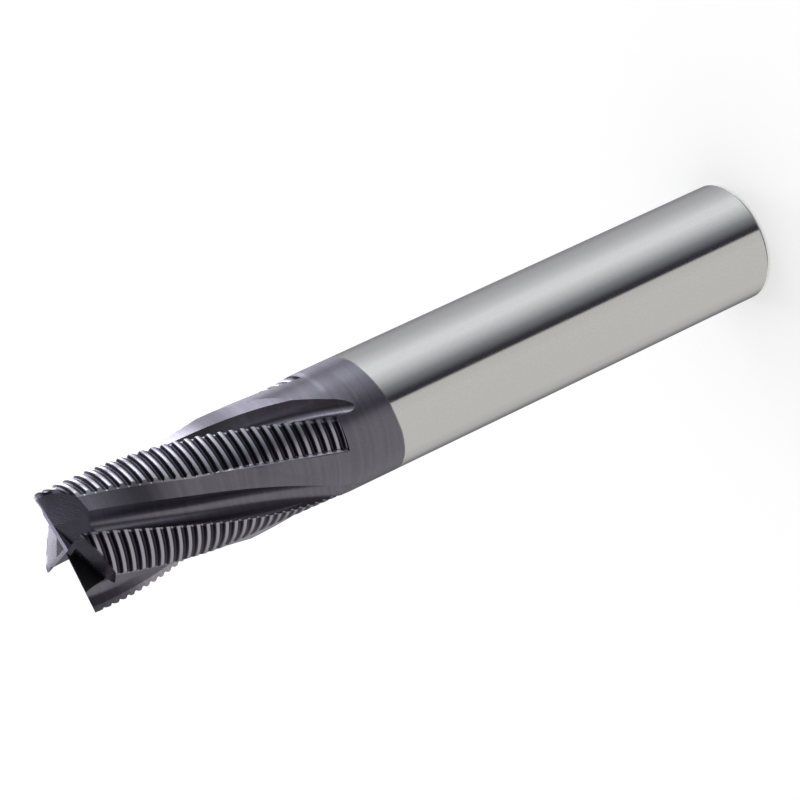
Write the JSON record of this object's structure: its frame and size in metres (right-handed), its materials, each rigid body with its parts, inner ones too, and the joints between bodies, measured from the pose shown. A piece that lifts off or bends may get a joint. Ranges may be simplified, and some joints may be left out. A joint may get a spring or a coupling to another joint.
{
  "type": "roughing end mill",
  "caption": "Solid carbide roughing end mill with helical serrated teeth, a ground end and a plain round shank.",
  "frame": {"origin": "centre of the shank's end face, which the tool stands on", "axes": "+Z along the tool's axis, from the shank end up to the cutting end; +X is 12 degrees behind the first tooth's outer corner"},
  "size_m": [0.012, 0.012, 0.0778],
  "materials": {
    "coated_carbide": "ground cemented carbide: a dark violet grey nitride coating over the teeth and neck, a polished bare shank below it"
  },
  "bodies": {
    "root": {"end_mill": "coated_carbide"}
  },
  "joints": []
}
